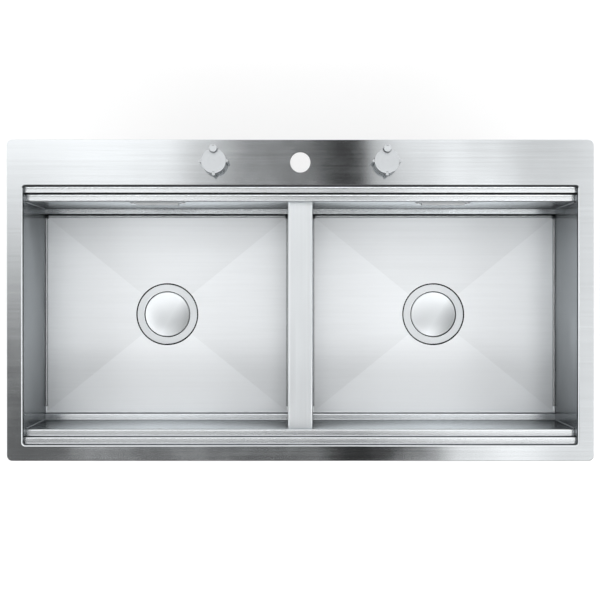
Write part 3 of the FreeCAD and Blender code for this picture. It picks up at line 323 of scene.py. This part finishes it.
def steel(name, tint, rough, grain, anisotropy=0.8, streaks=0.05, relief=0.12, rough_spread=0.15,
          crease=0.0, crease_reach=0.008, crease_range=(0.5, 0.92), crease_front=None, upright_shade=0.0,
          dark_sides=0.0, dark_folds=0.0, tilt_shade=None, mill_outside=False):
    """Brushed stainless steel with fine and broad grain and cloudy handling marks. Where it is asked for,
    shade is painted into inner creases, hollows, front bends and tilted faces, and into the reflection of
    sides seen edge on, and the outside has a dull mill finish."""
    material, tree, shader, place = start_material(name)
    shader.distribution = "GGX"
    fine = noise(tree, grain_lines(tree, place, grain, *FINE_GRAIN), detail=4.0, roughness=0.7)
    broad = noise(tree, grain_lines(tree, place, grain, *BROAD_GRAIN), roughness=0.65)
    cloud = noise(tree, place, scale=CLOUD_SCALE)
    tone = maths(tree, "MULTIPLY_ADD", fine, FINE_SHARE, maths(tree, "MULTIPLY", broad, 1 - FINE_SHARE))
    streak = span(tree, tone, 0.0, 1.0, source=NOISE_RANGE)
    colour = blend(tree, streak, scaled(tint, 1 - streaks), scaled(tint, 1 + streaks))
    # Painted shade, where it is asked for: in inner corners, on upright faces deep in the bowls, on the
    # front bends and risers, and on faces that lean one way
    if crease:
        colour = shade_creases(tree, place, colour, crease, crease_reach, crease_range, crease_front)
    if upright_shade:
        colour = shade_hollows(tree, colour, upright_shade)
    if dark_folds:
        colour = blend(tree, maths(tree, "MULTIPLY", front_fold_shade(tree, place), dark_folds), colour, SHADE_COLOUR)
    if tilt_shade:
        direction, source, strength = tilt_shade
        lean = dot(tree, surface_normal(tree), direction)
        colour = blend(tree, span(tree, lean, 0.0, strength, source=source), colour, SHADE_COLOUR)
    if mill_outside:
        colour = blend(tree, outward(tree, place), colour, MILL_STEEL)
    tree.links.new(colour, shader.inputs["Base Color"])
    # Painted shade in the reflection of upright faces seen edge on
    edge_on_shade = blend(tree, maths(tree, "MULTIPLY", upright(tree), dark_sides), colour, SHADE_COLOUR)
    tree.links.new(edge_on_shade, shader.inputs["Specular Tint"])
    shader.inputs["Metallic"].default_value = 1.0
    shader.inputs["Anisotropic"].default_value = anisotropy
    smoothest, roughest = rough * (1 - rough_spread), rough * (1 + rough_spread)
    rough_grain = span(tree, tone, smoothest, roughest, source=NOISE_RANGE)
    cloud_spread = rough_spread / CLOUD_DIVISOR
    rough_cloud = span(tree, cloud, -cloud_spread, cloud_spread, source=CLOUD_RANGE)
    rough_all = maths(tree, "ADD", rough_grain, rough_cloud, clamp=True)
    tree.links.new(rough_all, shader.inputs["Roughness"])
    bump = node(tree, "ShaderNodeBump", {"Strength": relief, "Distance": GRAIN_RELIEF, "Height": tone})
    tree.links.new(bump.outputs[0], shader.inputs["Normal"])
    if anisotropy:
        tree.links.new(grain_tangent(tree, grain), shader.inputs["Tangent"])
    return material


# How worn a cast piece's edges are, and how far in
WORN = 0.6
WEAR_REACH = 0.0006
# How much the tone varies, the range of the roughness as shares of it, and how deep the speckle is
SPECKLE = 0.12
CAST_ROUGHNESS = (0.8, 1.2)
SPECK_RELIEF = 0.0004
# How much larger the clouds are than the specks
CLOUD_SIZE = 30.0


def cast(name, tint, metallic, rough, scale, relief, wear_tint):
    """Moulded, plated, machined or rubber finish: speckle, cloudy tone and edges worn lighter."""
    material, tree, shader, place = start_material(name)
    speck = noise(tree, place, detail=5.0, roughness=0.7, scale=scale)
    cloud = noise(tree, place, scale=scale / CLOUD_SIZE)
    tone = maths(tree, "MULTIPLY_ADD", speck, 0.5, maths(tree, "MULTIPLY", cloud, 0.5))
    level = span(tree, tone, 0.0, 1.0, source=NOISE_RANGE)
    colour = blend(tree, level, scaled(tint, 1 - SPECKLE), scaled(tint, 1 + SPECKLE))
    wear = maths(tree, "MULTIPLY", edge_wear(tree, WEAR_REACH), maths(tree, "MULTIPLY", level, WORN))
    colour = blend(tree, wear, colour, wear_tint)
    tree.links.new(colour, shader.inputs["Base Color"])
    shader.inputs["Metallic"].default_value = metallic
    smoothest, roughest = (rough * share for share in CAST_ROUGHNESS)
    rough_all = span(tree, tone, smoothest, roughest, source=NOISE_RANGE)
    tree.links.new(rough_all, shader.inputs["Roughness"])
    bump = node(tree, "ShaderNodeBump", {"Strength": relief, "Distance": SPECK_RELIEF, "Height": speck})
    tree.links.new(bump.outputs[0], shader.inputs["Normal"])
    return material


# One finish for each material slot of the record, and one more for the end walls

STEEL = (0.835, 0.865, 0.885)
WHITE_STEEL = (0.885, 0.915, 0.935)
FLOOR_STEEL = (0.93, 0.955, 0.975)
SATIN_STEEL = (0.69, 0.715, 0.735)
# A darker copy of the steel, whose darkness is painted shade, for the overflow cover in the back wall
SHADED_STEEL = (0.5, 0.515, 0.525)
# Painted shade by facing: a direction, the range of the normal's lean along it, and how much painted shade
# the steel gets over that range
FACET_SHADE = ((0.0, -1.0, 0.0), (-0.01, 0.01), 0.12)
CAP_SHADE = ((0.85, -0.5, 0.0), (0.03, 0.15), 0.5)
CONTROL_LOOK = dict(tint=SATIN_STEEL, rough=0.34, grain=CONTROL, anisotropy=0.3, streaks=0.03, relief=0.02,
                    crease=0.9, crease_reach=0.003, dark_sides=0.97)
STEELS = {
    "deck_steel": dict(tint=STEEL, rough=0.08, grain="x", anisotropy=0.95, relief=0.04, dark_folds=1.0),
    "wall_steel": dict(tint=WHITE_STEEL, rough=0.22, grain="level", streaks=0.02, relief=0.03, crease=0.95,
                       crease_reach=0.003, crease_range=(0.35, 0.74), upright_shade=0.7, dark_folds=1.0,
                       mill_outside=True),
    "end_wall_steel": dict(tint=WHITE_STEEL, rough=0.22, grain="level", streaks=0.02, relief=0.03,
                           crease=0.9, crease_reach=0.003, upright_shade=0.35, dark_sides=0.75,
                           mill_outside=True),
    "divider_steel": dict(tint=STEEL, rough=0.34, grain="y", anisotropy=0.5, streaks=0.03,
                          upright_shade=0.75, dark_sides=0.9),
    "floor_steel": dict(tint=FLOOR_STEEL, rough=0.42, grain="x", anisotropy=0.2, streaks=0.025, relief=0.05,
                        crease=1.0, crease_range=(0.72, 0.88), crease_front=-0.2, tilt_shade=FACET_SHADE,
                        mill_outside=True),
    "drain_steel": dict(tint=STEEL, rough=0.34, grain=DRAIN, anisotropy=0.3, streaks=0.02, relief=0.03,
                        crease=1.0, crease_reach=0.006, crease_range=(0.6, 0.94), dark_sides=0.9),
    "cap_steel": dict(tint=STEEL, rough=0.34, grain=DRAIN, anisotropy=0.0, streaks=0.0, relief=0.0,
                      rough_spread=0.0, tilt_shade=CAP_SHADE, dark_sides=0.9),
    "basket_steel": dict(tint=STEEL, rough=0.36, grain=DRAIN),
    "overflow_steel": dict(tint=SHADED_STEEL, rough=0.30, grain="x", streaks=0.04, crease=0.15),
    "knob_steel": CONTROL_LOOK,
    "peg_steel": CONTROL_LOOK,
    "ring_steel": dict(tint=STEEL, rough=0.12, grain=CONTROL, anisotropy=0.5, streaks=0.03, dark_sides=0.97),
}
CASTS = {
    "screw_steel": dict(tint=(0.78, 0.78, 0.79), metallic=1.0, rough=0.2, scale=900.0, relief=0.1,
                        wear_tint=(0.9, 0.9, 0.9)),
    "bracket_steel": dict(tint=(0.5, 0.51, 0.52), metallic=1.0, rough=0.42, scale=700.0, relief=0.2,
                          wear_tint=(0.75, 0.75, 0.75)),
    "zinc_steel": dict(tint=(0.62, 0.63, 0.6), metallic=1.0, rough=0.32, scale=500.0, relief=0.2,
                       wear_tint=(0.8, 0.8, 0.78)),
    "brass": dict(tint=(0.75, 0.53, 0.22), metallic=1.0, rough=0.3, scale=900.0, relief=0.15,
                  wear_tint=(0.9, 0.72, 0.4)),
    "foam": dict(tint=(0.05, 0.05, 0.052), metallic=0.0, rough=0.9, scale=1600.0, relief=0.8,
                 wear_tint=(0.08, 0.08, 0.08)),
    "pad_rubber": dict(tint=(0.14, 0.14, 0.15), metallic=0.0, rough=0.8, scale=1100.0, relief=0.6,
                       wear_tint=(0.22, 0.22, 0.22)),
    "seal_rubber": dict(tint=(0.03, 0.03, 0.032), metallic=0.0, rough=0.6, scale=1200.0, relief=0.3,
                        wear_tint=(0.08, 0.08, 0.08)),
    "dark_plastic": dict(tint=(0.045, 0.046, 0.05), metallic=0.0, rough=0.48, scale=1400.0, relief=0.25,
                         wear_tint=(0.12, 0.12, 0.125)),
}
MATERIALS = {name: steel(name, **look) for name, look in STEELS.items()}
MATERIALS.update({name: cast(name, **look) for name, look in CASTS.items()})

for subpart in frame["record"]["subparts"]:
    for material_slot in frame["nodes"][subpart["node"]].material_slots:
        finish = "end_wall_steel" if subpart["node"].endswith("end_wall") else subpart["material_slot"]
        material_slot.material = MATERIALS[finish]


# The outlets' pipe threads, as raised helical ridges

OUTLET_RADIUS = 0.0239
# The heights of the thread's two ends, its pitch, and how far its ridge stands out
THREAD_LOW = -0.3714
THREAD_HIGH = -0.3515
THREAD_PITCH = 0.0022
THREAD_DEPTH = 0.0009
# How far the ridge's foot sinks into the outlet, and the steps in one turn
THREAD_SINK = 0.0002
THREAD_STEPS = 48


def ridge_ring(mesh, centre, angle, height, rise):
    """The points of the ridge's section at one angle, kept between the thread's two ends."""
    foot = THREAD_PITCH / 2
    crest = THREAD_PITCH / 10
    ring = []
    for out, up in ((-THREAD_SINK, -foot), (rise, -crest), (rise, crest), (-THREAD_SINK, foot)):
        level = min(max(height + up, THREAD_LOW), THREAD_HIGH)
        reach = OUTLET_RADIUS + out
        x = centre[0] + reach * math.cos(angle)
        y = centre[1] + reach * math.sin(angle)
        ring.append(mesh.verts.new((x, y, level)))
    return ring


def thread(name, body, slot, centre):
    """A helical ridge with a narrow crest round an upright cylinder, fading out at both ends."""
    mesh = bmesh.new()
    count = round((THREAD_HIGH - THREAD_LOW) / THREAD_PITCH * THREAD_STEPS)
    rings = []
    for step in range(count + 1):
        angle = step * math.tau / THREAD_STEPS
        height = THREAD_LOW + (THREAD_HIGH - THREAD_LOW) * step / count
        rise = THREAD_DEPTH * min(1.0, step / THREAD_STEPS, (count - step) / THREAD_STEPS)
        rings.append(ridge_ring(mesh, centre, angle, height, rise))
    for first, second in zip(rings, rings[1:]):
        for side in range(len(first) - 1):
            mesh.faces.new((first[side], second[side], second[side + 1], first[side + 1]))
    data = bpy.data.meshes.new(name)
    mesh.to_mesh(data)
    mesh.free()
    ridge = bpy.data.objects.new(name, data)
    bpy.context.scene.collection.objects.link(ridge)
    ridge.data.materials.append(MATERIALS[slot])
    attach(ridge, body)


for side_name, side in (("left", -1), ("right", 1)):
    thread(side_name + "_outlet_thread", "sink", "dark_plastic", (side * DRAIN[0], DRAIN[1]))


# The floor that the outlets stand on, pale, with the object's shadow kept

FLOOR_LEVEL = -0.3745
FLOOR_REACH = 6.0
# The paint and the glow that the camera and the reflections see, and the paint for all other rays
FLOOR_PAINT = 0.45
FLOOR_GLOW = 0.64
FLOOR_BOUNCE = 0.75


def seen_directly(tree):
    """One for camera, glossy and transmission rays, and zero for the rays that carry the lighting."""
    path = node(tree, "ShaderNodeLightPath")
    camera_or_glossy = maths(tree, "MAXIMUM", path.outputs["Is Camera Ray"], path.outputs["Is Glossy Ray"])
    return maths(tree, "MAXIMUM", camera_or_glossy, path.outputs["Is Transmission Ray"])


def diffuse(tree, level):
    return node(tree, "ShaderNodeBsdfDiffuse", {"Color": (*grey(level), 1.0)}).outputs[0]


def studio_floor():
    """A floor that is clear from below, so that the underside can be seen."""
    mesh = bpy.data.meshes.new("studio_floor")
    ways = ((-1, -1), (1, -1), (1, 1), (-1, 1))
    corners = [(x * FLOOR_REACH, y * FLOOR_REACH, FLOOR_LEVEL) for x, y in ways]
    mesh.from_pydata(corners, [], [(0, 1, 2, 3)])
    floor = bpy.data.objects.new("studio_floor", mesh)
    bpy.context.scene.collection.objects.link(floor)
    material = bpy.data.materials.new("studio_floor")
    material.use_nodes = True
    tree = material.node_tree
    tree.nodes.clear()
    glow_inputs = {"Color": (1.0, 1.0, 1.0, 1.0), "Strength": FLOOR_GLOW}
    glow = node(tree, "ShaderNodeEmission", glow_inputs).outputs[0]
    lit = node(tree, "ShaderNodeAddShader", {0: diffuse(tree, FLOOR_PAINT), 1: glow}).outputs[0]
    mix_inputs = {0: seen_directly(tree), 1: diffuse(tree, FLOOR_BOUNCE), 2: lit}
    mixed = node(tree, "ShaderNodeMixShader", mix_inputs).outputs[0]
    below = node(tree, "ShaderNodeNewGeometry").outputs["Backfacing"]
    clear = node(tree, "ShaderNodeBsdfTransparent").outputs[0]
    one_sided = node(tree, "ShaderNodeMixShader", {0: below, 1: mixed, 2: clear}).outputs[0]
    node(tree, "ShaderNodeOutputMaterial", {"Surface": one_sided})
    mesh.materials.append(material)


# The studio's light. A direction is given by its slopes: how far it goes right and back for each unit up.

# Bands overhead, as pairs of a slope to the right and a grey level, in front and at the back
FRONT_STOPS = ((-0.3, 0.13), (-0.03, 0.12), (0.0, 0.1), (0.028, 0.03), (0.062, 0.02), (0.076, 0.2),
               (0.1, 0.8), (0.13, 1.0), (0.175, 0.72), (0.3, 0.72))
BACK_STOPS = ((-0.3, 1.2), (-0.14, 1.3), (-0.085, 1.2), (-0.06, 0.75), (-0.03, 0.3), (0.0, 0.13),
              (0.018, 0.08), (0.026, 0.03), (0.036, 0.04), (0.048, 0.75), (0.065, 0.98), (0.09, 0.98),
              (0.117, 0.76), (0.145, 0.62), (0.3, 0.75))
# The slopes over which the front bands give way to the back ones
FRONT_TO_BACK = (-0.04, 0.12)
# The soft box over the bowls: its grey levels, and the slopes over which it brightens toward its back
BOX_FRONT_LEVEL = 0.6
BOX_BACK_LEVEL = 2.8
BOX_BRIGHTENING = (-0.06, 0.03)
# The slopes over which the soft box fades out at its two sides, its back and its front
BOX_SIDES = (0.13, 0.16)
BOX_BACK = (0.0, 0.035)
BOX_FRONT = (-0.065, -0.03)
# The slot through the soft box: its place, the box's share that is left in it, and its soft edges
SLOT_PLACE = 0.031
SLOT_SHARE = 0.1
SLOT_EDGE = (0.012, 0.04)
# The ring round the overhead part and the room beyond it: grey levels for their corners, and the ranges of
# the direction's own x and y from the left to the right and from the front to the back
RING = {"back_left": 1.7, "back_right": 1.9, "front_left": 0.08, "front_right": 1.6}
RING_RIGHT = (-0.12, 0.26)
RING_BACK = (-0.037, 0.226)
ROOM = {"back_left": 0.2, "back_right": 1.6, "front_left": 4.0, "front_right": 5.4}
ROOM_RIGHT = (-0.6, 0.6)
ROOM_BACK = (-0.3, 0.5)
HORIZON_LEVEL = 0.62
# The slopes, to any side, over which each part gives way to the next
OVERHEAD_TO_RING = (0.14, 0.3)
RING_TO_ROOM = (0.35, 0.6)
ROOM_TO_HORIZON = (0.6, 1.05)
# The dark flag at the right: its two side edges, its middle and its edges from front to back, and its share
FLAG_START = (0.19, 0.25)
FLAG_END = (0.5, 0.7)
FLAG_MIDDLE = -0.15
FLAG_EDGE = (0.2, 0.5)
FLAG_SHARE = 0.92
# Keeps the slopes finite at the horizon and under it
LEAST_HEIGHT = 0.05


def ramp(tree, value, stops):
    """A grey level by value, from stops of value and level."""
    low = stops[0][0]
    high = stops[-1][0]
    share = span(tree, value, 0.0, 1.0, source=(low, high))
    made = node(tree, "ShaderNodeValToRGB", {0: share})
    band = made.color_ramp
    band.interpolation = "EASE"
    while len(band.elements) < len(stops):
        band.elements.new(0.5)
    for element, (place, level) in zip(band.elements, stops):
        element.position = (place - low) / (high - low)
        element.color = (*grey(level), 1.0)
    return made.outputs[0]


def four_corners(tree, to_right, to_back, levels):
    """A grey level blended between four corners."""
    front = blend(tree, to_right, grey(levels["front_left"]), grey(levels["front_right"]))
    back = blend(tree, to_right, grey(levels["back_left"]), grey(levels["back_right"]))
    return blend(tree, to_back, front, back)


def overhead_light(tree, right, back):
    """The bands overhead, with the soft box in front of them."""
    toward_back = span(tree, back, 0.0, 1.0, source=FRONT_TO_BACK)
    bands = blend(tree, toward_back, ramp(tree, right, FRONT_STOPS), ramp(tree, right, BACK_STOPS))
    sides = falling(tree, maths(tree, "ABSOLUTE", right), BOX_SIDES)
    slot_way = maths(tree, "ABSOLUTE", maths(tree, "SUBTRACT", right, SLOT_PLACE))
    slot = span(tree, slot_way, SLOT_SHARE, 1.0, smooth=True, source=SLOT_EDGE)
    depth = maths(tree, "MULTIPLY", rising(tree, back, BOX_FRONT), slot)
    box_share = product(tree, sides, falling(tree, back, BOX_BACK), depth)
    brightening = span(tree, back, 0.0, 1.0, source=BOX_BRIGHTENING)
    soft_box = blend(tree, brightening, grey(BOX_FRONT_LEVEL), grey(BOX_BACK_LEVEL))
    return blend(tree, box_share, bands, soft_box)


def studio_world():
    """The light by direction: overhead bands, a ring, the room and the horizon. The camera sees white."""
    world = bpy.data.worlds.new("studio")
    bpy.context.scene.world = world
    world.use_nodes = True
    tree = world.node_tree
    tree.nodes.clear()
    x, y, z = parts_of(tree, node(tree, "ShaderNodeTexCoord").outputs["Generated"])
    height = maths(tree, "MAXIMUM", z, LEAST_HEIGHT)
    right = maths(tree, "DIVIDE", x, height)
    back = maths(tree, "DIVIDE", y, height)
    ring = four_corners(tree, rising(tree, x, RING_RIGHT), span(tree, y, 0.0, 1.0, source=RING_BACK), RING)
    room = four_corners(tree, rising(tree, x, ROOM_RIGHT), rising(tree, y, ROOM_BACK), ROOM)
    tilt = maths(tree, "MAXIMUM", maths(tree, "ABSOLUTE", right), maths(tree, "ABSOLUTE", back))
    light = blend(tree, rising(tree, tilt, OVERHEAD_TO_RING), overhead_light(tree, right, back), ring)
    light = blend(tree, rising(tree, tilt, RING_TO_ROOM), light, room)
    light = blend(tree, rising(tree, tilt, ROOM_TO_HORIZON), light, grey(HORIZON_LEVEL))
    flag_way = maths(tree, "ABSOLUTE", maths(tree, "SUBTRACT", back, FLAG_MIDDLE))
    flag_share = span(tree, flag_way, FLAG_SHARE, 0.0, smooth=True, source=FLAG_EDGE)
    flag = product(tree, rising(tree, right, FLAG_START), falling(tree, right, FLAG_END), flag_share)
    light = blend(tree, flag, light, SHADE_COLOUR)
    seen = node(tree, "ShaderNodeLightPath").outputs["Is Camera Ray"]
    colour = blend(tree, seen, light, grey(1.0))
    background = node(tree, "ShaderNodeBackground", {"Color": colour, "Strength": 1.0}).outputs[0]
    node(tree, "ShaderNodeOutputWorld", {"Surface": background})


# The camera hangs straight over the sink, at the photograph's distance

CAMERA_PLACE = (-0.0005, 0.0003, 2.828)
CAMERA_LENS = 98.0
SENSOR_WIDTH = 36.0
NEAREST = 0.1
FARTHEST = 50.0


def overhead_camera():
    data = bpy.data.cameras.new("overhead_camera")
    data.lens = CAMERA_LENS
    data.sensor_width = SENSOR_WIDTH
    data.clip_start = NEAREST
    data.clip_end = FARTHEST
    camera = bpy.data.objects.new("overhead_camera", data)
    camera.location = CAMERA_PLACE
    bpy.context.scene.collection.objects.link(camera)
    bpy.context.scene.camera = camera


studio_floor()
studio_world()
overhead_camera()
bpy.context.scene.view_settings.view_transform = "Standard"
